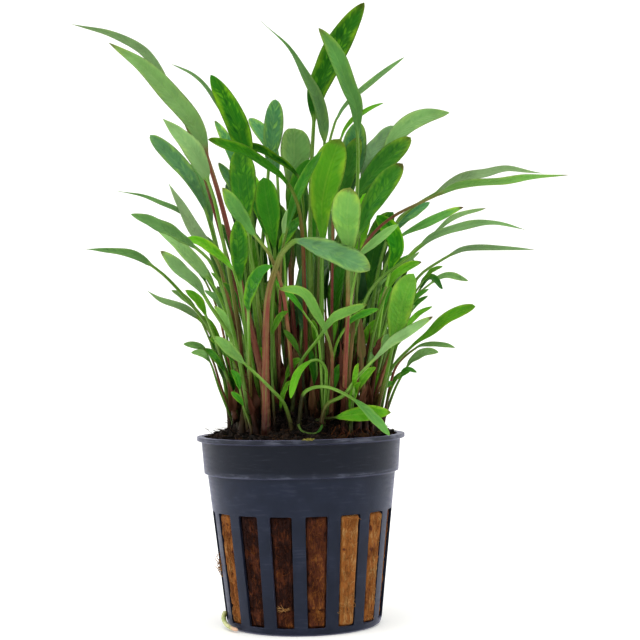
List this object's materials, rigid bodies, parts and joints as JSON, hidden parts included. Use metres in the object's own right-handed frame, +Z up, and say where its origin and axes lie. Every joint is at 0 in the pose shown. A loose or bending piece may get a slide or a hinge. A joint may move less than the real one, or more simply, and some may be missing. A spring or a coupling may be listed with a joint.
{
  "type": "potted cryptocoryne",
  "caption": "Clump of narrow, long-stalked aquarium plant leaves growing from rock wool in a round slotted net pot with a plain rim band.",
  "frame": {"origin": "centre of the pot's flat underside, on the pot's axis", "axes": "+Z up along the pot's axis, +X to the right seen from the front, +Y to the back"},
  "size_m": [0.1356, 0.086, 0.1668],
  "materials": {
    "pot_plastic": "moulded recycled polypropylene, satin, a little scuffed",
    "rock_wool": "wet mineral wool, golden to dark brown, fibrous",
    "peat": "dark wet peat crumbs and rootlets",
    "root": "fresh pale root, slightly waxy",
    "leaf_bright": "young leaf, bright yellow-green, waxy",
    "leaf_green": "leaf, mid green, waxy",
    "leaf_dark": "old leaf, dark green, mottled, waxy",
    "leaf_sage": "leaf underside or dull leaf, grey-green",
    "leaf_blue": "leaf in shade, blue-green"
  },
  "bodies": {
    "root": {"pot": "pot_plastic", "rock_wool": "rock_wool", "peat_top": "peat", "root_tip": "root", "leaf_left_01": "leaf_bright", "leaf_left_02": "leaf_sage", "leaf_left_03": "leaf_sage", "leaf_left_04": "leaf_blue", "leaf_left_05": "leaf_dark", "leaf_left_06": "leaf_sage", "leaf_left_07": "leaf_green", "leaf_left_08": "leaf_sage", "leaf_left_09": "leaf_bright", "leaf_left_10": "leaf_green", "leaf_left_11": "leaf_green", "leaf_left_12": "leaf_sage", "leaf_left_13": "leaf_green", "leaf_left_14": "leaf_bright", "leaf_middle_01": "leaf_dark", "leaf_middle_02": "leaf_green", "leaf_middle_03": "leaf_dark", "leaf_middle_04": "leaf_blue", "leaf_middle_05": "leaf_blue", "leaf_middle_06": "leaf_sage", "leaf_middle_07": "leaf_blue", "leaf_middle_08": "leaf_green", "leaf_middle_09": "leaf_dark", "leaf_middle_10": "leaf_green", "leaf_middle_11": "leaf_dark", "leaf_middle_12": "leaf_green", "leaf_middle_13": "leaf_green", "leaf_middle_14": "leaf_green", "leaf_middle_15": "leaf_sage", "leaf_middle_16": "leaf_blue", "leaf_middle_17": "leaf_blue", "leaf_middle_18": "leaf_bright", "leaf_middle_19": "leaf_bright", "leaf_middle_20": "leaf_green", "leaf_middle_21": "leaf_green", "leaf_right_01": "leaf_sage", "leaf_right_02": "leaf_bright", "leaf_right_03": "leaf_green", "leaf_right_04": "leaf_sage", "leaf_right_05": "leaf_green", "leaf_right_06": "leaf_green", "leaf_right_07": "leaf_sage", "leaf_right_08": "leaf_bright", "leaf_right_09": "leaf_bright", "leaf_right_10": "leaf_dark", "leaf_right_11": "leaf_sage", "leaf_right_12": "leaf_bright", "leaf_right_13": "leaf_sage", "leaf_right_14": "leaf_sage", "leaf_front_01": "leaf_bright", "leaf_front_02": "leaf_green", "leaf_front_03": "leaf_bright", "leaf_front_04": "leaf_bright", "leaf_front_05": "leaf_blue", "leaf_front_06": "leaf_bright", "leaf_front_07": "leaf_dark"}
  },
  "joints": []
}
